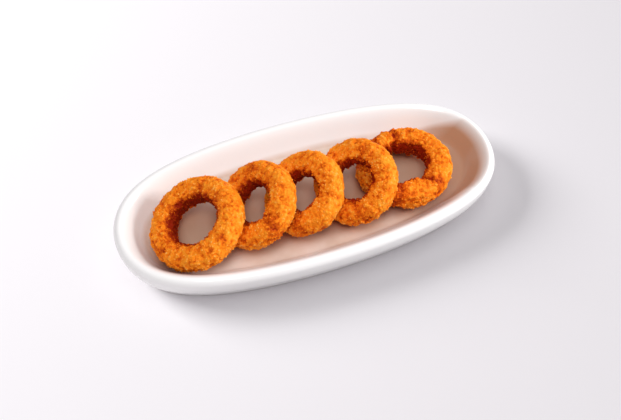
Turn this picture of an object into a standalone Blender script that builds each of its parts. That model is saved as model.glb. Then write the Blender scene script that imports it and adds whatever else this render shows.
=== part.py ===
"""A side of onion rings: an oval porcelain dish with breaded rings leaning on each other.

Units are metres, +Z is up. The dish stands on z = 0 with its long side along X.
"""
import math

import bpy

# The dish, outline and heights
DISH_HALF_LENGTH = 0.1300
OUTLINE_X3 = -0.0056        # third harmonic of the outline, blunts the ends
OUTLINE_X5 = 0.0005
OUTLINE_Y1 = 0.0610         # first, third and fifth harmonic of the width
OUTLINE_Y3 = 0.0021
OUTLINE_Y5 = 0.0003
OUTLINE_STEPS = 72

RIM_HEIGHT = 0.0246
LIP_RADIUS = 0.0040         # the outer edge of the rim is round in section
LIP_STEPS = 6

# The foot the dish stands on, as insets from the outline
FOOT_OUTER_INSET = 0.0058
FOOT_INNER_INSET = 0.0115
FOOT_HEIGHT = 0.0048        # the crease between foot and wall
FOOT_CREASE_INSET = 0.0063
FOOT_EDGE = 0.0006
RECESS_DEPTH = 0.0018
OUTER_WALL_STEPS = 5

# The inside of the dish
FLOOR_HEIGHT = 0.0070
FLOOR_FLAT_INSET = 0.0200
INNER_WALL_STEPS = 13

# The breaded rings, round in plan and in section
RING_MEAN_RADIUS = 0.0216   # from the middle of the hole to the middle of the section
RING_HALF_WIDTH = 0.0082
RING_HALF_THICKNESS = 0.0083
RING_STEPS = 40
SECTION_STEPS = 14

# Each ring: x, y and z of its centre in mm, how far it leans from lying flat and
# the compass direction its upper face looks to, both in degrees, and by how many
# mm its mean radius and its section are larger than the common ones
RINGS = {
    "ring_1": (-78.6, -6.0, 25.6, 23.0, 183.3, 2.1, 0.0),
    "ring_2": (-39.8, -6.4, 27.6, 35.6, 181.9, -0.7, 0.0),
    "ring_3": (-7.9, -7.8, 27.1, 35.4, 189.3, -1.6, 0.0),
    "ring_4": (27.0, -10.2, 27.4, 35.8, 200.6, -1.3, 0.0),
    "ring_5": (65.8, -3.3, 18.5, 6.0, 156.0, 2.3, 0.4),
}

# Colours in linear light
PORCELAIN = (0.87, 0.85, 0.82, 1.0)
CRUMB_CRUST = (0.80, 0.26, 0.035, 1.0)


def clear_scene():
    """Remove every object that is in the scene."""
    for obj in list(bpy.data.objects):
        bpy.data.objects.remove(obj, do_unlink=True)


def make_material(name, colour, roughness, metallic=0.0):
    """Return a Principled material."""
    material = bpy.data.materials.new(name)
    material.use_nodes = True
    shader = material.node_tree.nodes["Principled BSDF"]
    shader.inputs["Base Color"].default_value = colour
    shader.inputs["Roughness"].default_value = roughness
    shader.inputs["Metallic"].default_value = metallic
    return material


def make_object(name, vertices, faces, material):
    """Return a new mesh object in the scene."""
    mesh = bpy.data.meshes.new(name)
    mesh.from_pydata(vertices, [], faces)
    mesh.validate()
    mesh.update()
    mesh.materials.append(material)
    obj = bpy.data.objects.new(name, mesh)
    bpy.context.scene.collection.objects.link(obj)
    return obj


def outline_point(angle, inset):
    """Return x and y of the dish outline at an angle, moved inwards by the inset."""
    first_x = DISH_HALF_LENGTH - OUTLINE_X3 - OUTLINE_X5
    x = first_x * math.cos(angle)
    x += OUTLINE_X3 * math.cos(3 * angle) + OUTLINE_X5 * math.cos(5 * angle)
    y = OUTLINE_Y1 * math.sin(angle)
    y += OUTLINE_Y3 * math.sin(3 * angle) + OUTLINE_Y5 * math.sin(5 * angle)
    along_x = -first_x * math.sin(angle)
    along_x -= 3 * OUTLINE_X3 * math.sin(3 * angle) + 5 * OUTLINE_X5 * math.sin(5 * angle)
    along_y = OUTLINE_Y1 * math.cos(angle)
    along_y += 3 * OUTLINE_Y3 * math.cos(3 * angle) + 5 * OUTLINE_Y5 * math.cos(5 * angle)
    length = math.hypot(along_x, along_y)
    return (x - inset * along_y / length, y + inset * along_x / length)


def quarter(start, end, steps):
    """Return points of a quarter ellipse that leaves the start along the inset axis."""
    points = []
    for step in range(1, steps + 1):
        turn = math.pi / 2 * step / steps
        across = math.sin(turn)
        up = 1 - math.cos(turn)
        points.append((start[0] + (end[0] - start[0]) * across,
                       start[1] + (end[1] - start[1]) * up))
    return points


def dish_profile():
    """Return the dish section as (inset, height), from below the floor round to above it."""
    lip_height = RIM_HEIGHT - LIP_RADIUS
    crease = (FOOT_CREASE_INSET, FOOT_HEIGHT)
    profile = [
        (FOOT_INNER_INSET + RECESS_DEPTH, RECESS_DEPTH),
        (FOOT_INNER_INSET, 0.0),
        (FOOT_OUTER_INSET + FOOT_EDGE, 0.0),
        (FOOT_OUTER_INSET, FOOT_EDGE),
        crease,
    ]
    profile += quarter(crease, (0.0, lip_height), OUTER_WALL_STEPS)
    for step in range(1, LIP_STEPS + 1):
        turn = math.pi / 2 * step / LIP_STEPS
        profile.append((LIP_RADIUS - LIP_RADIUS * math.cos(turn),
                        lip_height + LIP_RADIUS * math.sin(turn)))
    for step in range(1, INNER_WALL_STEPS + 1):
        way = step / INNER_WALL_STEPS
        sunk = way * way * (3 - 2 * way)
        profile.append((LIP_RADIUS + (FLOOR_FLAT_INSET - LIP_RADIUS) * way,
                        RIM_HEIGHT - (RIM_HEIGHT - FLOOR_HEIGHT) * sunk))
    return profile


def make_dish(material):
    """Return the dish as one closed solid."""
    profile = dish_profile()
    vertices = []
    for inset, height in profile:
        for step in range(OUTLINE_STEPS):
            x, y = outline_point(2 * math.pi * step / OUTLINE_STEPS, inset)
            vertices.append((x, y, height))
    faces = []
    for row in range(len(profile) - 1):
        for step in range(OUTLINE_STEPS):
            after = (step + 1) % OUTLINE_STEPS
            low = row * OUTLINE_STEPS
            high = low + OUTLINE_STEPS
            faces.append((low + step, low + after, high + after, high + step))
    top = (len(profile) - 1) * OUTLINE_STEPS
    faces.append(tuple(range(OUTLINE_STEPS - 1, -1, -1)))
    faces.append(tuple(range(top, top + OUTLINE_STEPS)))
    return make_object("dish", vertices, faces, material)


def make_ring(name, place, material):
    """Return one breaded ring, modelled flat and then leant over by its rotation."""
    x, y, z, lean, facing, wider, thicker = place
    mean_radius = RING_MEAN_RADIUS + wider / 1000
    half_width = RING_HALF_WIDTH + thicker / 1000
    half_thickness = RING_HALF_THICKNESS + thicker / 1000
    vertices = []
    for around in range(RING_STEPS):
        turn = 2 * math.pi * around / RING_STEPS
        for step in range(SECTION_STEPS):
            roll = 2 * math.pi * step / SECTION_STEPS
            radius = mean_radius + half_width * math.cos(roll)
            vertices.append((radius * math.cos(turn), radius * math.sin(turn),
                             half_thickness * math.sin(roll)))
    faces = []
    for around in range(RING_STEPS):
        here = around * SECTION_STEPS
        there = (around + 1) % RING_STEPS * SECTION_STEPS
        for step in range(SECTION_STEPS):
            after = (step + 1) % SECTION_STEPS
            faces.append((here + step, there + step, there + after, here + after))
    ring = make_object(name, vertices, faces, material)
    ring.location = (x / 1000, y / 1000, z / 1000)
    ring.rotation_euler = (0.0, math.radians(lean), math.radians(facing))
    return ring


def main():
    clear_scene()
    porcelain = make_material("porcelain", PORCELAIN, 0.15)
    make_dish(porcelain)
    for name, place in RINGS.items():
        crust = make_material("crust_" + name, CRUMB_CRUST, 0.75)
        make_ring(name, place, crust)


main()
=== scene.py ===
# %% [markdown]
# # A side of onion rings in an oval dish
#
# This notebook dresses a measured model: an oval porcelain dish with thick
# breaded rings leaning on each other. The measured model gives every size and
# place. What is made here is what the eye adds: the glaze of the dish, and the
# lumpy fried crust of the rings with its crumbs.
#
# The measured model is loaded first and is never moved.

import math

import bpy
import numpy as np
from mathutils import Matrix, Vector


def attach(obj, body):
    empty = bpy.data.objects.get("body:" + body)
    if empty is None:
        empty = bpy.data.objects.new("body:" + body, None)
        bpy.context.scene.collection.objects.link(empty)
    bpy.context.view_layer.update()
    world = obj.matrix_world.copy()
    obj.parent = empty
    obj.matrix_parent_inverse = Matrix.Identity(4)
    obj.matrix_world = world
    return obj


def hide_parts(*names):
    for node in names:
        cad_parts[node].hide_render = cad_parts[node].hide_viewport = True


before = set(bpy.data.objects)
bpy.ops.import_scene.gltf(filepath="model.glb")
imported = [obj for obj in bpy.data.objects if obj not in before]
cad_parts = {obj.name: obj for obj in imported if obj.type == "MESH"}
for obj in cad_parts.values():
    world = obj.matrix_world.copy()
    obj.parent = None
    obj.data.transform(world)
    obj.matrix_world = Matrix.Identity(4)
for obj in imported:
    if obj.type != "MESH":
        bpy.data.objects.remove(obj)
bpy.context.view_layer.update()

# %% [markdown]
# ## Small helpers
#
# Colours are written as they look on a screen, as sRGB hex values. Blender
# works in linear light, so one function turns them. A second function adds a
# node to any tree, sets its properties, and fills or links its inputs, which
# keeps every node tree below short to read.

# %% Helpers for colours and nodes
def linear(hex_colour):
    """Return the linear colour of an sRGB hex value, with an alpha of one."""
    channels = [int(hex_colour[i:i + 2], 16) / 255 for i in (1, 3, 5)]
    return [c / 12.92 if c <= 0.04045 else ((c + 0.055) / 1.055) ** 2.4 for c in channels] + [1.0]


def add(tree, kind, inputs=None, **settings):
    """Add a node, set its properties and fill its inputs.

    An input is given by name or number. Its value is a plain value, a socket to
    link, or a node, whose first output in use is then linked.
    """
    node = tree.nodes.new(kind)
    for name, value in settings.items():
        setattr(node, name, value)
    for key, value in (inputs or {}).items():
        if isinstance(key, str):
            key = [i for i, socket in enumerate(node.inputs) if socket.name == key and socket.enabled][0]
        if isinstance(value, bpy.types.Node):
            value = [socket for socket in value.outputs if socket.enabled][0]
        if isinstance(value, bpy.types.NodeSocket):
            tree.links.new(value, node.inputs[key])
        else:
            node.inputs[key].default_value = value
    return node


def new_material(name):
    """Return a material, its empty tree and its Principled shader joined to the output."""
    material = bpy.data.materials.new(name)
    material.use_nodes = True
    tree = material.node_tree
    tree.nodes.clear()
    shader = add(tree, "ShaderNodeBsdfPrincipled")
    add(tree, "ShaderNodeOutputMaterial", {"Surface": shader.outputs[0]})
    return material, tree, shader


def new_piece(name, vertices, faces, material):
    """Return a smooth mesh object in the scene, made from lists of corners and faces."""
    mesh = bpy.data.meshes.new(name)
    mesh.from_pydata(vertices, [], faces)
    mesh.update()
    mesh.polygons.foreach_set("use_smooth", [True] * len(mesh.polygons))
    mesh.materials.append(material)
    piece = bpy.data.objects.new(name, mesh)
    bpy.context.scene.collection.objects.link(piece)
    return piece


def number_corners(piece, name, kind, values):
    """Store numbers on the corners of a piece."""
    attribute = piece.data.attributes.new(name, kind, "POINT")
    key = "vector" if kind == "FLOAT_VECTOR" else "value"
    attribute.data.foreach_set(key, np.ascontiguousarray(values, dtype=np.float32).ravel())

# %% [markdown]
# ## Camera
#
# The dish is looked down on from in front and a little to the left, as a guest
# sees it. The lens is a short one held close, so that the near end of the dish
# looks larger than the far end. The camera stands on a line through a point
# near the middle of the table under the dish.

# %% Camera
CAMERA_AZIMUTH = math.radians(-20.94)
CAMERA_ELEVATION = math.radians(54.0)
CAMERA_ROLL = math.radians(0.95)
CAMERA_DISTANCE = 0.4764
CAMERA_TARGET = Vector((-0.0016, -0.0033, 0.0))
LENS_MM = 40.57

towards_camera = Vector((math.sin(CAMERA_AZIMUTH) * math.cos(CAMERA_ELEVATION),
                         -math.cos(CAMERA_AZIMUTH) * math.cos(CAMERA_ELEVATION),
                         math.sin(CAMERA_ELEVATION)))
camera_data = bpy.data.cameras.new("camera")
camera_data.lens = LENS_MM
camera_data.sensor_width = 36.0
camera_data.clip_start = 0.01
camera = bpy.data.objects.new("camera", camera_data)
bpy.context.scene.collection.objects.link(camera)
camera.location = CAMERA_TARGET + towards_camera * CAMERA_DISTANCE
camera.rotation_euler = (-towards_camera).to_track_quat("-Z", "Y").to_euler()
camera.rotation_euler.rotate_axis("Z", CAMERA_ROLL)
bpy.context.scene.camera = camera
print("camera at", [round(v, 3) for v in camera.location])

# %% [markdown]
# ## Light and table
#
# A white table in a studio. One lamp behind on the left lights the table and
# throws the soft shadow that falls to the right and towards the viewer. The
# food is lit by two others: a wide lamp high in front, which reaches the floor
# and the far wall of the dish, and one on the right, which makes the right side
# of every ring shine. Light linking keeps these two off the table and the first
# one off the food, as flags do in a studio, so that no second shadow shows. A
# wide lamp above and a pale sky fill the shadows.

# %% Lamps and sky
def soft_lamp(name, direction, distance, size, power, colour="#ffffff"):
    """Add a square lamp that looks at the middle of the dish from a direction."""
    data = bpy.data.lights.new(name, "AREA")
    data.shape = "SQUARE"
    data.size = size
    data.energy = power
    data.color = linear(colour)[:3]
    lamp = bpy.data.objects.new(name, data)
    bpy.context.scene.collection.objects.link(lamp)
    place = Vector(direction).normalized() * distance
    lamp.location = place
    lamp.rotation_euler = (-place).to_track_quat("-Z", "Y").to_euler()
    return lamp


served = bpy.data.collections.new("served_things")
table_things = bpy.data.collections.new("table_things")
SHADOW_POWER, FRONT_POWER, RIGHT_POWER, TOP_POWER, SKY_STRENGTH = 37.0, 3.8, 7.4, 3.0, 0.38

shadow_lamp = soft_lamp("shadow_lamp", (-0.66, 0.56, 0.48), 2.0, 0.90, SHADOW_POWER)
front_lamp = soft_lamp("front_lamp", (-0.10, -0.35, 0.90), 1.1, 0.40, FRONT_POWER)
right_lamp = soft_lamp("right_lamp", (0.82, -0.22, 0.48), 1.1, 0.32, RIGHT_POWER)
top_lamp = soft_lamp("top_lamp", (0.0, 0.0, 1.0), 1.2, 1.0, TOP_POWER)
shadow_lamp.light_linking.receiver_collection = table_things
front_lamp.light_linking.receiver_collection = served
right_lamp.light_linking.receiver_collection = served

world = bpy.data.worlds.new("studio")
world.use_nodes = True
world.node_tree.nodes["Background"].inputs["Color"].default_value = linear("#fbf8fb")
world.node_tree.nodes["Background"].inputs["Strength"].default_value = SKY_STRENGTH
bpy.context.scene.world = world
bpy.context.scene.view_settings.view_transform = "Standard"

# %% Table
TABLE_REACH = 3.0

table_white, tree, shader = new_material("white_table")
shader.inputs["Base Color"].default_value = linear("#f9f6f9")
shader.inputs["Roughness"].default_value = 0.9
shader.inputs["Specular IOR Level"].default_value = 0.1
table_corners = [(TABLE_REACH * x, TABLE_REACH * y, 0.0) for x, y in ((-1, -1), (1, -1), (1, 1), (-1, 1))]
table = new_piece("table", table_corners, [(0, 1, 2, 3)], table_white)
table_things.objects.link(table)
print("lights and table are in")

# %% [markdown]
# ## The dish
#
# An oval serving dish of white porcelain: a foot it stands on, a wall that
# bellies outwards, a rounded rim, and an inside that runs smoothly into the
# floor. All of that is one section carried round one oval, so it is made like
# that: a list of points for the section, each one an inset from the oval and a
# height, and an oval drawn with a few harmonics. The step round the oval is
# fine, because the bright rim shows every corner.

# %% The oval and the section of the dish
DISH_HALF_LENGTH = 0.1300
OUTLINE_X3, OUTLINE_X5 = -0.0056, 0.0005
OUTLINE_Y1, OUTLINE_Y3, OUTLINE_Y5 = 0.0610, 0.0021, 0.0003
RIM_HEIGHT = 0.0246
LIP_RADIUS = 0.0040
FOOT_OUTER, FOOT_INNER, FOOT_CREASE = 0.0058, 0.0115, 0.0063
FOOT_HEIGHT = 0.0048
RECESS_DEPTH, RECESS_BEND = 0.0018, 0.0026
RECESS_INSETS = (0.045, 0.030)
FLOOR_FLAT_INSET, FLOOR_HEIGHT = 0.0200, 0.0070
FLOOR_ROW_GAP, FLOOR_LAST_INSET = 0.0020, 0.0541
# From the edge of the flat floor inwards the rows shrink to the middle
FLOOR_SHRINK = 0.036
OUTER_STEPS, LIP_STEPS, INNER_STEPS = 16, 10, 30
ROUND_STEPS = 360


def oval(angles, inset):
    """Return the corners of the dish's oval, moved inwards by the inset."""
    first = DISH_HALF_LENGTH - OUTLINE_X3 - OUTLINE_X5
    x = first * np.cos(angles) + OUTLINE_X3 * np.cos(3 * angles) + OUTLINE_X5 * np.cos(5 * angles)
    y = OUTLINE_Y1 * np.sin(angles) + OUTLINE_Y3 * np.sin(3 * angles) + OUTLINE_Y5 * np.sin(5 * angles)
    dx = -first * np.sin(angles) - 3 * OUTLINE_X3 * np.sin(3 * angles) - 5 * OUTLINE_X5 * np.sin(5 * angles)
    dy = OUTLINE_Y1 * np.cos(angles)
    dy = dy + 3 * OUTLINE_Y3 * np.cos(3 * angles) + 5 * OUTLINE_Y5 * np.cos(5 * angles)
    length = np.hypot(dx, dy)
    return x - inset * dy / length, y + inset * dx / length


def bend(start, end, steps):
    """Return a quarter of an ellipse that leaves the start sideways, without the start."""
    turns = np.linspace(0, math.pi / 2, steps + 1)[1:]
    return [(start[0] + (end[0] - start[0]) * math.sin(t), start[1] + (end[1] - start[1]) * (1 - math.cos(t)))
            for t in turns]


lip_height = RIM_HEIGHT - LIP_RADIUS
# The recess underneath and the foot, with their small rounded edges
section = [(inset, RECESS_DEPTH) for inset in RECESS_INSETS + (FOOT_INNER + RECESS_BEND,)]
section += bend(section[-1], (FOOT_INNER, 0.0004), 5)
section += [(FOOT_INNER - 0.0003, 0.0), (FOOT_OUTER + 0.0009, 0.0)]
section += bend(section[-1], (FOOT_OUTER, 0.0008), 4)
section += [(FOOT_OUTER + 0.0001, 0.002), (FOOT_CREASE - 0.0002, FOOT_HEIGHT - 0.0006)]
section += [(FOOT_CREASE + 0.0002, FOOT_HEIGHT - 0.0001)]
# The outer wall, the rim and the inside
section += bend((FOOT_CREASE, FOOT_HEIGHT), (0.0, lip_height), OUTER_STEPS)
section += [(LIP_RADIUS * (1 - math.cos(t)), lip_height + LIP_RADIUS * math.sin(t))
            for t in np.linspace(0, math.pi / 2, LIP_STEPS + 1)[1:]]
for way in np.linspace(0, 1, INNER_STEPS + 1)[1:]:
    sunk = way * way * (3 - 2 * way)
    section.append((LIP_RADIUS + (FLOOR_FLAT_INSET - LIP_RADIUS) * way,
                    RIM_HEIGHT - (RIM_HEIGHT - FLOOR_HEIGHT) * sunk))
section += [(inset, FLOOR_HEIGHT)
            for inset in np.arange(FLOOR_FLAT_INSET + FLOOR_ROW_GAP, FLOOR_LAST_INSET, FLOOR_ROW_GAP)]
print("dish section has", len(section), "points")

# %% Carry the section round the oval
angles = np.linspace(0, 2 * math.pi, ROUND_STEPS, endpoint=False)
corners = []
for inset, height in section:
    reach = min(inset, FLOOR_FLAT_INSET)
    x, y = oval(angles, reach)
    shrink = 1 - (inset - reach) / FLOOR_SHRINK
    corners.append(np.stack([x * shrink, y * shrink, np.full(ROUND_STEPS, height)], axis=1))
rows = len(section)
faces = []
for row in range(rows - 1):
    for step in range(ROUND_STEPS):
        after = (step + 1) % ROUND_STEPS
        low, high = row * ROUND_STEPS, (row + 1) * ROUND_STEPS
        faces.append((low + step, low + after, high + after, high + step))
vertices = [tuple(v) for v in np.concatenate(corners)]
for row, height, order in ((0, RECESS_DEPTH, -1), (rows - 1, FLOOR_HEIGHT, 1)):
    vertices.append((0.0, 0.0, height))
    middle = len(vertices) - 1
    for step in range(ROUND_STEPS):
        pair = (row * ROUND_STEPS + step, row * ROUND_STEPS + (step + 1) % ROUND_STEPS)
        faces.append((middle,) + pair[::order])

# %% [markdown]
# ## The breaded rings
#
# A slice of onion dipped in batter, rolled in crumbs and fried. The place and
# lean of each one are measured on its plain solid: the middle of its corners,
# the direction in which it is thinnest, and its sizes across and through.

# %% Measure the plain rings
RING_NAMES = ("ring_1", "ring_2", "ring_3", "ring_4", "ring_5")


def measure_ring(name):
    """Return the middle, the three axes and the sizes of one plain ring."""
    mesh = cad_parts[name].data
    points = np.empty(len(mesh.vertices) * 3)
    mesh.vertices.foreach_get("co", points)
    points = np.unique(points.reshape(-1, 3).round(6), axis=0)
    middle = points.mean(axis=0)
    spread = np.linalg.eigh(np.cov((points - middle).T))[1]
    up = spread[:, 0] * np.sign(spread[2, 0])
    along = np.array([1.0, 0.0, 0.0]) - up * up[0]
    along /= np.linalg.norm(along)
    across = np.cross(up, along)
    rest = points - middle
    reach = np.hypot(rest @ along, rest @ across)
    outer, inner, half_thick = reach.max(), reach.min(), np.abs(rest @ up).max()
    return {"middle": middle, "axes": (along, across, up), "radius": (outer + inner) / 2,
            "half_width": (outer - inner) / 2, "half_thick": half_thick}


rings = {name: measure_ring(name) for name in RING_NAMES}
for name, ring in rings.items():
    print(name, "mean radius", round(ring["radius"] * 1000, 1), "mm, lean",
          round(math.degrees(math.acos(ring["axes"][2][2])), 1), "degrees")

# %% [markdown]
# ### Glazed porcelain
#
# White clay under a thin coat of clear glass. The glaze gives sharp, pale
# reflections, so the roughness is low and the index is that of glass, 1.5. The
# white is a warm one. The floor, where the fried rings lie, is painted a warm
# beige that stands for the shade there and the orange light the rings throw
# back; it is uneven over a few centimetres and fades out up the wall. A browner
# painted shade lies under and round each ring, and a painted shadow lies at the
# right end, where it also reaches higher up the wall. Where a ring touches the
# glaze a dark contact shadow is painted. The corners carry how much of the
# painted floor shade there is, how much of the browner shade, and how near the
# next ring is. The foot ring has no glaze, because the dish stood on it in the
# kiln, and is dull and a little grey.

# %% The material of the dish
PATCH_SIZE, RIPPLE_SIZE = 0.022, 0.009
BARE_HEIGHT, GLAZED_HEIGHT = 0.0003, 0.0007
# The painted floor shade, a warm tint for shade and orange bounce light from the rings: how high up the wall
# it reaches and where it is full
FLOOR_SHADE_TOP, FLOOR_SHADE_FULL, FLOOR_SHADE_GAIN = 0.0110, 0.0072, 1.15
# The painted shadow over the right end of the floor, which also reaches up that end's wall
END_START, END_LENGTH = 0.030, 0.075
END_BACK, END_SIDE_FADE = 0.034, 0.016
END_RISE, RISE_START, RISE_LENGTH, END_SOFTER = 0.0155, 0.080, 0.020, 0.4
# The painted shade under and round each ring
RING_SHADE_REACH, RING_SHADE_FADE, RING_SHADE_MOST = 0.021, 0.006, 0.75
# The painted contact shadow where a ring meets the glaze
CONTACT_SHADOW_FADE, CONTACT_SHADOW_MOST = 0.0048, 0.85

porcelain, tree, shader = new_material("glazed_porcelain")
place = add(tree, "ShaderNodeTexCoord").outputs["Object"]
height = add(tree, "ShaderNodeSeparateXYZ", {0: place}).outputs["Z"]
# Painted shade on the floor: a warm tint for the shade and the orange bounce light there, uneven in patches
floor_shade = add(tree, "ShaderNodeAttribute", attribute_name="floor_shade").outputs["Fac"]
patches = add(tree, "ShaderNodeTexNoise", {"Vector": place, "Scale": 1 / PATCH_SIZE, "Detail": 3.0})
uneven = add(tree, "ShaderNodeMapRange", {"Value": patches, "From Min": 0.35, "From Max": 0.70})
floor_shade_tone = add(tree, "ShaderNodeMix",
               {"Factor": uneven, "A": linear("#e0cfc3"), "B": linear("#ceb5a2")}, data_type="RGBA")
# A deeper, browner painted shade under and round the rings and at the right end
deeper_shade = add(tree, "ShaderNodeAttribute", attribute_name="deeper_shade").outputs["Fac"]
floor_shade_tone = add(tree, "ShaderNodeMix", {"Factor": deeper_shade, "A": floor_shade_tone, "B": linear("#c0967a")},
               data_type="RGBA")
glazed = add(tree, "ShaderNodeMix", {"Factor": floor_shade, "A": linear("#f8f6f5"), "B": floor_shade_tone}, data_type="RGBA")
# A dark painted contact shadow where a ring touches the glaze
contact_shadow = add(tree, "ShaderNodeAttribute", attribute_name="contact_shadow").outputs["Fac"]
glazed = add(tree, "ShaderNodeMix", {"Factor": contact_shadow, "A": glazed, "B": linear("#8c4620")}, data_type="RGBA")
bare = add(tree, "ShaderNodeMapRange", {"Value": height, "From Min": GLAZED_HEIGHT, "From Max": BARE_HEIGHT})
colour = add(tree, "ShaderNodeMix", {"Factor": bare, "A": glazed, "B": linear("#cfc6bb")}, data_type="RGBA")
rough = add(tree, "ShaderNodeMapRange", {"Value": bare, "To Min": 0.16, "To Max": 0.7})
ripple = add(tree, "ShaderNodeTexNoise", {"Vector": place, "Scale": 1 / RIPPLE_SIZE, "Detail": 2.0})
bump = add(tree, "ShaderNodeBump", {"Height": ripple, "Strength": 0.25, "Distance": 0.0002})
tree.links.new([o for o in colour.outputs if o.enabled][0], shader.inputs["Base Color"])
tree.links.new(rough.outputs["Result"], shader.inputs["Roughness"])
tree.links.new(bump.outputs["Normal"], shader.inputs["Normal"])
shader.inputs["IOR"].default_value = 1.5

dish = new_piece("porcelain_dish", vertices, faces, porcelain)
corner = np.array(vertices)
lip_row = max(range(rows), key=lambda row: section[row][1])
is_inside = np.arange(len(vertices)) // ROUND_STEPS > lip_row
# The corner in the middle of the recess comes after all rows, but isn't inside
is_inside[rows * ROUND_STEPS] = False
# Painted shadow over the right end of the floor, fading out towards the back
right_end_shadow = np.clip((corner[:, 0] - END_START) / END_LENGTH, 0, 1)
right_end_shadow = right_end_shadow * np.clip((END_BACK - corner[:, 1]) / END_SIDE_FADE, 0, 1)
# Painted shade under each ring and just round it
shade_under_rings = np.zeros(len(vertices))
# Painted contact shadow, darkest where a ring's crust comes nearest the glaze
contact_shadow = np.zeros(len(vertices))
for name in RING_NAMES:
    middle = rings[name]["middle"]
    away = np.hypot(corner[:, 0] - middle[0], corner[:, 1] - middle[1]) - RING_SHADE_REACH
    shade_under_rings = np.maximum(shade_under_rings, RING_SHADE_MOST * np.exp(-(np.maximum(away, 0) / RING_SHADE_FADE) ** 2))
    along, across, up = rings[name]["axes"]
    off_line = np.hypot((corner - middle) @ along, (corner - middle) @ across) - rings[name]["radius"]
    gap = np.hypot(off_line, (corner - middle) @ up) - rings[name]["half_width"]
    contact_shadow = np.maximum(contact_shadow, CONTACT_SHADOW_MOST * np.exp(-(np.maximum(gap, 0) / CONTACT_SHADOW_FADE) ** 2))
deeper_shade = np.maximum(right_end_shadow, shade_under_rings)
higher = END_RISE * np.clip((corner[:, 0] - RISE_START) / RISE_LENGTH, 0, 1) * right_end_shadow
# The painted floor shade is full low on the floor and fades out up the wall
floor_shade_depth = FLOOR_SHADE_TOP - FLOOR_SHADE_FULL + END_SOFTER * higher
floor_shade_of = np.clip(FLOOR_SHADE_GAIN * (FLOOR_SHADE_TOP + higher - corner[:, 2]) / floor_shade_depth, 0, 1) * is_inside
number_corners(dish, "floor_shade", "FLOAT", floor_shade_of)
number_corners(dish, "deeper_shade", "FLOAT", deeper_shade)
number_corners(dish, "contact_shadow", "FLOAT", contact_shadow * is_inside)
served.objects.link(dish)
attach(dish, "root")
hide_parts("dish")
print("dish:", len(dish.data.polygons), "faces")

# %% [markdown]
# ### The bare shape of a ring
# The section is nearly round, a little squared, because a slice of onion is a
# short tube with batter all round. Batter also runs together while it fries and
# leaves creases across the ring, which pinch the section. Each corner carries
# numbers that the crust needs later: how crumby the place is, because the outer
# side has more batter than crumbs, how much painted shade it gets, in a crease or
# on the side of the hole, and a point near the middle line of the ring, along
# which folds in the batter run across.

# %% Build the bare rings
AROUND_STEPS = 400
SECTION_STEPS = 144
RELIEF_ROOM = 0.0001
SQUARENESS = 2.3
CREASE_WAVE = 6
BATTER_MOST = 0.75
# How strongly, and from where round the section, the side of the hole is darkened as painted shade
HOLE_SHADE_MOST, HOLE_FROM, HOLE_OVER = 1.15, 0.50, 0.5
# For each ring its creases: compass direction in degrees, width in metres, depth
CREASES = {
    "ring_1": ((62, 0.0030, 0.05), (200, 0.0050, 0.05)),
    "ring_2": ((75, 0.0035, 0.08), (285, 0.0040, 0.10)),
    "ring_3": ((110, 0.0030, 0.06), (250, 0.0040, 0.07)),
    "ring_4": ((40, 0.0040, 0.06), (120, 0.0035, 0.10), (262, 0.0040, 0.08)),
    "ring_5": ((86, 0.0024, 0.30), (114, 0.0024, 0.24), (148, 0.0030, 0.12), (235, 0.0040, 0.16),
               (292, 0.0032, 0.14)),
}


def bare_ring(name):
    """Return corners, faces, two sets of numbers and the points for the folds of one ring."""
    ring = rings[name]
    around = np.linspace(0, 2 * math.pi, AROUND_STEPS, endpoint=False)
    roll = np.linspace(0, 2 * math.pi, SECTION_STEPS, endpoint=False)
    power = 2 / SQUARENESS
    out = np.sign(np.cos(roll)) * np.abs(np.cos(roll)) ** power * (ring["half_width"] - RELIEF_ROOM)
    up = np.sign(np.sin(roll)) * np.abs(np.sin(roll)) ** power * (ring["half_thick"] - RELIEF_ROOM)
    along, across, axis = ring["axes"]
    spoke = np.cos(around)[:, None] * along + np.sin(around)[:, None] * across
    crease = np.zeros((AROUND_STEPS, SECTION_STEPS))
    compass = np.degrees(np.arctan2(spoke[:, 1], spoke[:, 0]))[:, None]
    for bearing, width, depth in CREASES[name]:
        apart = (compass - bearing + CREASE_WAVE * np.sin(roll * 2 + bearing)[None, :] + 180) % 360 - 180
        crease = np.maximum(crease, depth * np.exp(-(np.radians(apart) * ring["radius"] / width) ** 2))
    pinch = 1 - crease * (0.7 - 0.3 * np.cos(roll))[None, :]
    shape = out[None, :, None] * spoke[:, None, :] + up[None, :, None] * axis
    points = ring["middle"] + ring["radius"] * spoke[:, None, :] + shape * pinch[:, :, None]
    line = ring["radius"] * spoke[:, None, :] + 0.25 * shape
    # The side that looks out of the ring and along the row has more batter than crumbs
    outward = np.cos(roll)[None, :] * np.ones(AROUND_STEPS)[:, None]
    facing = np.cos(around)[:, None] * 0.75 + np.sin(around)[:, None] * 0.1
    smooth = np.clip((outward - 0.25) / 0.65, 0, 1) * np.clip((facing + 0.25) / 0.6, 0, 1)
    crumby = 1 - BATTER_MOST * smooth
    # Painted shade: the side of the hole and the creases are darkened in the crust's colour
    hole_side_shade = HOLE_SHADE_MOST * np.clip((-HOLE_FROM - np.cos(roll)) / HOLE_OVER, 0, 1)[None, :]
    shade_in_hollows = np.maximum(np.clip(crease / 0.15, 0, 1) * 0.6, hole_side_shade)
    grid = np.arange(AROUND_STEPS * SECTION_STEPS).reshape(AROUND_STEPS, SECTION_STEPS)
    right = np.roll(grid, -1, axis=0)
    quads = np.stack([grid, right, np.roll(right, -1, axis=1), np.roll(grid, -1, axis=1)], axis=-1)
    numbers = {"crumby": crumby.reshape(-1), "crease": shade_in_hollows.reshape(-1)}
    return points.reshape(-1, 3), quads.reshape(-1, 4), numbers, line.reshape(-1, 3)


print("a bare ring has", AROUND_STEPS * SECTION_STEPS, "corners")

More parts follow.
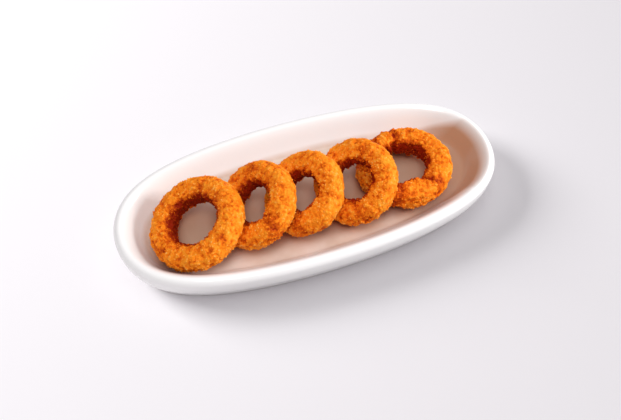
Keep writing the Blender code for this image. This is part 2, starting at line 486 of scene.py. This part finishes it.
# %% [markdown]
# ### Batter and crumbs
#
# Fried batter is orange-gold, but unevenly so. One noise from a few millimetres
# down to the grain of the bread gives the unevenness. Light and shade are painted
# on top: the height of the relief, which the crust's node tree below stores on
# the corners, makes the batter paler on crests and a deep red-orange in pits, and
# creases and the side of the hole are painted darker as shade. The outer side,
# with more batter than crumbs, is a little paler.
# The crust scatters light from many small faces, so it is rough, with only a
# weak gloss of oil. The crumbs are the same bread in the same place, a little
# paler, and each one has its own tone.

# %% The materials of the crust and of its crumbs
UNEVEN_SIZE, UNEVEN_SHARE = 0.0072, 0.62
# How much the painted shade in creases and on the hole side darkens the crust, and how much paler the batter
# side is
CREASE_SHADE_SHARE, CRUMBY_SHARE = -0.31, -0.05
GRAIN_SIZE, GRAIN_HEIGHT = 0.0010, 0.0005
# The tones of fried bread, from the darkest, which the painted shade in pits, creases and on the hole side
# reaches, to the palest crumb
DARKEST, PALEST = (0.23, "#942000"), (0.78, "#ffca70")
BETWEEN = ((0.39, "#e06409"), (0.47, "#f98616"), (0.58, "#ffa02a"))


def fried_material(name, tone_name, tone_share, lift):
    """Return fried bread whose tone is noise, shifted by a number on the corners."""
    material, tree, shader = new_material(name)
    place = add(tree, "ShaderNodeTexCoord").outputs["Object"]
    tone = add(tree, "ShaderNodeAttribute", attribute_name=tone_name).outputs["Fac"]
    crease = add(tree, "ShaderNodeAttribute", attribute_name="crease").outputs["Fac"]
    crumby = add(tree, "ShaderNodeAttribute", attribute_name="crumby").outputs["Fac"]
    uneven = add(tree, "ShaderNodeTexNoise",
                 {"Vector": place, "Scale": 1 / UNEVEN_SIZE, "Detail": 7.0, "Roughness": 0.76})
    # For the batter the corner number is the relief height, which paints shade in pits and light on crests;
    # for a crumb it is its own random tone
    tone = add(tree, "ShaderNodeMath", {0: tone, 1: tone_share, 2: lift}, operation="MULTIPLY_ADD")
    # Painted shade in creases and on the side of the hole
    tone = add(tree, "ShaderNodeMath", {0: crease, 1: CREASE_SHADE_SHARE, 2: tone}, operation="MULTIPLY_ADD")
    tone = add(tree, "ShaderNodeMath", {0: crumby, 1: CRUMBY_SHARE, 2: tone}, operation="MULTIPLY_ADD")
    tone = add(tree, "ShaderNodeMath", {0: uneven, 1: UNEVEN_SHARE, 2: tone}, operation="MULTIPLY_ADD")
    colours = add(tree, "ShaderNodeValToRGB", {"Fac": tone})
    stops = colours.color_ramp.elements
    for position, hex_colour in BETWEEN:
        stops.new(position).color = linear(hex_colour)
    stops[0].position, stops[0].color = DARKEST[0], linear(DARKEST[1])
    stops[-1].position, stops[-1].color = PALEST[0], linear(PALEST[1])
    grains = add(tree, "ShaderNodeTexNoise", {"Vector": place, "Scale": 1 / GRAIN_SIZE, "Detail": 3.0})
    bump = add(tree, "ShaderNodeBump", {"Height": grains, "Strength": 0.8, "Distance": GRAIN_HEIGHT})
    tree.links.new(colours.outputs["Color"], shader.inputs["Base Color"])
    tree.links.new(bump.outputs["Normal"], shader.inputs["Normal"])
    shader.inputs["Roughness"].default_value = 0.6
    shader.inputs["Specular IOR Level"].default_value = 0.08
    return material


# The batter's tone follows the relief: painted shade in pits and painted highlight on crests
batter = fried_material("fried_batter", "relief", 0.25, 0.170)
crumb = fried_material("fried_crumb", "tone", 0.20, 0.215)

# %% [markdown]
# ### The crust as a node tree
#
# The crust is random but follows the surface, which is what Geometry Nodes are
# good at. First the bare ring is pushed out and in by slow noise (lumps) and by
# noise along the ring (folds). Then two sizes of cells and some noise give the
# shaggy relief of the crumb coat. Last, loose crumbs are scattered where the
# coat stands out, each one a small stone of twenty faces, turned and scaled at
# random.

# %% The node tree for the crust
def crust_tree():
    """Return the node group that turns a bare ring into a breaded one."""
    tree = bpy.data.node_groups.new("breaded_crust", "GeometryNodeTree")
    face = tree.interface
    face.new_socket("Ring", in_out="INPUT", socket_type="NodeSocketGeometry")
    face.new_socket("Breaded", in_out="OUTPUT", socket_type="NodeSocketGeometry")
    for name, value in (("Lump Height", 0.0026), ("Lump Size", 0.0085), ("Fold Height", 0.0018),
                        ("Fold Size", 0.0042), ("Coat Height", 0.0015), ("Coat Size", 0.0026),
                        ("Crumbs Per Square Metre", 800000.0), ("Crumb Size", 0.00056)):
        socket = face.new_socket(name, in_out="INPUT", socket_type="NodeSocketFloat")
        socket.default_value = value
    face.new_socket("Seed", in_out="INPUT", socket_type="NodeSocketInt").default_value = 1
    given = add(tree, "NodeGroupInput").outputs
    shift = add(tree, "ShaderNodeMath", {0: given["Seed"], 1: 0.137}, operation="MULTIPLY")
    crumby = add(tree, "GeometryNodeInputNamedAttribute", {"Name": "crumby"}, data_type="FLOAT")
    line = add(tree, "GeometryNodeInputNamedAttribute", {"Name": "line"}, data_type="FLOAT_VECTOR")
    position = add(tree, "GeometryNodeInputPosition")
    spot = add(tree, "ShaderNodeVectorMath", {0: position, 1: shift}, operation="ADD")
    fold_spot = add(tree, "ShaderNodeVectorMath", {0: line, 1: shift}, operation="ADD")

    def noise(vector, size, detail):
        """Return noise of a size in metres, from minus a half to a half."""
        scale = add(tree, "ShaderNodeMath", {0: 1.0, 1: size}, operation="DIVIDE")
        texture = add(tree, "ShaderNodeTexNoise", {"Vector": vector, "Scale": scale, "Detail": detail})
        return add(tree, "ShaderNodeMath", {0: texture, 1: 0.5}, operation="SUBTRACT")

    def push(geometry, distance):
        """Return the geometry moved along its normals by a distance."""
        normal = add(tree, "GeometryNodeInputNormal")
        offset = add(tree, "ShaderNodeVectorMath", {0: normal, "Scale": distance}, operation="SCALE")
        return add(tree, "GeometryNodeSetPosition", {"Geometry": geometry, "Offset": offset})

    lumps = add(tree, "ShaderNodeMath",
                {0: noise(spot, given["Lump Size"], 2.0), 1: given["Lump Height"]}, operation="MULTIPLY")
    folds = add(tree, "ShaderNodeMath",
                {0: noise(fold_spot, given["Fold Size"], 1.0), 1: given["Fold Height"]}, operation="MULTIPLY")
    folds = add(tree, "ShaderNodeMath", {0: folds, 1: crumby, 2: lumps}, operation="MULTIPLY_ADD")
    shaped = push(given["Ring"], folds)

    wobble = add(tree, "ShaderNodeTexNoise", {"Vector": spot, "Scale": 900.0, "Detail": 2.0})
    wobble = wobble.outputs["Color"]
    wobble = add(tree, "ShaderNodeVectorMath", {0: wobble, 1: (0.0012, 0.0012, 0.0012), 2: spot},
                 operation="MULTIPLY_ADD")
    cells = add(tree, "ShaderNodeMath", {0: 1.0, 1: given["Coat Size"]}, operation="DIVIDE")
    clumps = add(tree, "ShaderNodeTexVoronoi", {"Vector": wobble, "Scale": cells, "Smoothness": 0.35},
                 feature="SMOOTH_F1").outputs["Distance"]
    specks = add(tree, "ShaderNodeTexVoronoi", {"Vector": wobble, "Scale": 1 / 0.0012})
    specks = specks.outputs["Distance"]
    relief = add(tree, "ShaderNodeMath", {0: clumps, 1: -0.6, 2: 0.75}, operation="MULTIPLY_ADD")
    relief = add(tree, "ShaderNodeMath", {0: specks, 1: -0.55, 2: relief}, operation="MULTIPLY_ADD")
    relief = add(tree, "ShaderNodeMath",
                 {0: noise(spot, 0.0030, 6.0), 1: 2.0, 2: relief}, operation="MULTIPLY_ADD")
    amount = add(tree, "ShaderNodeMath", {0: crumby, 1: 0.8, 2: 0.2}, operation="MULTIPLY_ADD")
    raised = add(tree, "ShaderNodeMath", {0: relief, 1: 0.2}, operation="SUBTRACT")
    raised = add(tree, "ShaderNodeMath", {0: raised, 1: given["Coat Height"]}, operation="MULTIPLY")
    raised = add(tree, "ShaderNodeMath", {0: raised, 1: amount}, operation="MULTIPLY")
    coated = push(shaped, raised)
    coated = add(tree, "GeometryNodeStoreNamedAttribute",
                 {"Geometry": coated, "Name": "relief", "Value": relief}, data_type="FLOAT", domain="POINT")

    height = add(tree, "GeometryNodeInputNamedAttribute", {"Name": "relief"}, data_type="FLOAT")
    crests = add(tree, "ShaderNodeMapRange", {"Value": height, "From Min": 0.05, "From Max": 0.50})
    where = add(tree, "ShaderNodeMath", {0: crumby, 1: crests}, operation="MULTIPLY")
    density = add(tree, "ShaderNodeMath",
                  {0: where, 1: given["Crumbs Per Square Metre"]}, operation="MULTIPLY")
    scatter = add(tree, "GeometryNodeDistributePointsOnFaces",
                  {"Mesh": coated, "Density": density, "Seed": given["Seed"]}, distribute_method="RANDOM")
    stone = add(tree, "GeometryNodeMeshIcoSphere", {"Radius": given["Crumb Size"], "Subdivisions": 1})
    spin = add(tree, "FunctionNodeRandomValue", {"Max": (6.28, 6.28, 6.28), "Seed": 5},
               data_type="FLOAT_VECTOR")
    size = add(tree, "FunctionNodeRandomValue",
               {"Min": (0.55, 0.45, 0.35), "Max": (1.7, 1.1, 0.8), "Seed": 9}, data_type="FLOAT_VECTOR")
    stones = add(tree, "GeometryNodeInstanceOnPoints",
                 {"Points": scatter, "Instance": stone, "Rotation": spin, "Scale": size})
    tone = add(tree, "FunctionNodeRandomValue", {"Seed": 13}, data_type="FLOAT")
    stones = add(tree, "GeometryNodeStoreNamedAttribute",
                 {"Geometry": stones, "Name": "tone", "Value": tone}, data_type="FLOAT", domain="INSTANCE")
    stones = add(tree, "GeometryNodeRealizeInstances", {"Geometry": stones})
    stones = add(tree, "GeometryNodeSetMaterial", {"Geometry": stones, "Material": crumb})
    coated = add(tree, "GeometryNodeSetMaterial", {"Geometry": coated, "Material": batter})
    joined = add(tree, "GeometryNodeJoinGeometry", {"Geometry": stones})
    tree.links.new(coated.outputs["Geometry"], joined.inputs["Geometry"])
    add(tree, "NodeGroupOutput", {"Breaded": joined})
    return tree


breading = crust_tree()
print("crust tree has", len(breading.nodes), "nodes")

# %% [markdown]
# ### Bread the rings
#
# Each ring gets the tree as a modifier with its own seed and sizes. The result
# is turned into a plain mesh, so that nothing live is left on the piece.

# %% Bread the rings
RING_LOOKS = {
    "ring_1": {"Seed": 3, "Fold Height": 0.0008},
    "ring_2": {"Seed": 8},
    "ring_3": {"Seed": 14},
    "ring_4": {"Seed": 21, "Lump Height": 0.0032},
    "ring_5": {"Seed": 34, "Fold Height": 0.0036},
}


def set_input(modifier, name, value):
    """Set an input of a Geometry Nodes modifier by its socket's identifier."""
    for socket in modifier.node_group.interface.items_tree:
        if socket.name == name and socket.in_out == "INPUT":
            modifier[socket.identifier] = value


def bread(name):
    """Return one finished breaded ring."""
    points, quads, numbers, line = bare_ring(name)
    ring = new_piece("breaded_" + name, points.tolist(), quads.tolist(), batter)
    for key, values in numbers.items():
        number_corners(ring, key, "FLOAT", values)
    number_corners(ring, "line", "FLOAT_VECTOR", line)
    modifier = ring.modifiers.new("crust", "NODES")
    modifier.node_group = breading
    for key, value in RING_LOOKS[name].items():
        set_input(modifier, key, value)
    finished = ring.evaluated_get(bpy.context.evaluated_depsgraph_get())
    mesh = bpy.data.meshes.new_from_object(finished)
    ring.modifiers.clear()
    ring.data = mesh
    kept = [m for m in mesh.materials if m is not None]
    slots = [kept.index(mesh.materials[p.material_index]) for p in mesh.polygons]
    mesh.materials.clear()
    for material in kept:
        mesh.materials.append(material)
    mesh.polygons.foreach_set("material_index", slots)
    relief = np.empty(len(mesh.vertices))
    mesh.attributes["relief"].data.foreach_get("value", relief)
    print(name, "relief from", np.percentile(relief[:len(points)], (5, 50, 95)).round(2))
    return ring


for name in RING_NAMES:
    ring = bread(name)
    served.objects.link(ring)
    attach(ring, "root")
    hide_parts(name)
    print(ring.name, sum(len(p.vertices) - 2 for p in ring.data.polygons), "triangles",
          [m.name for m in ring.data.materials])
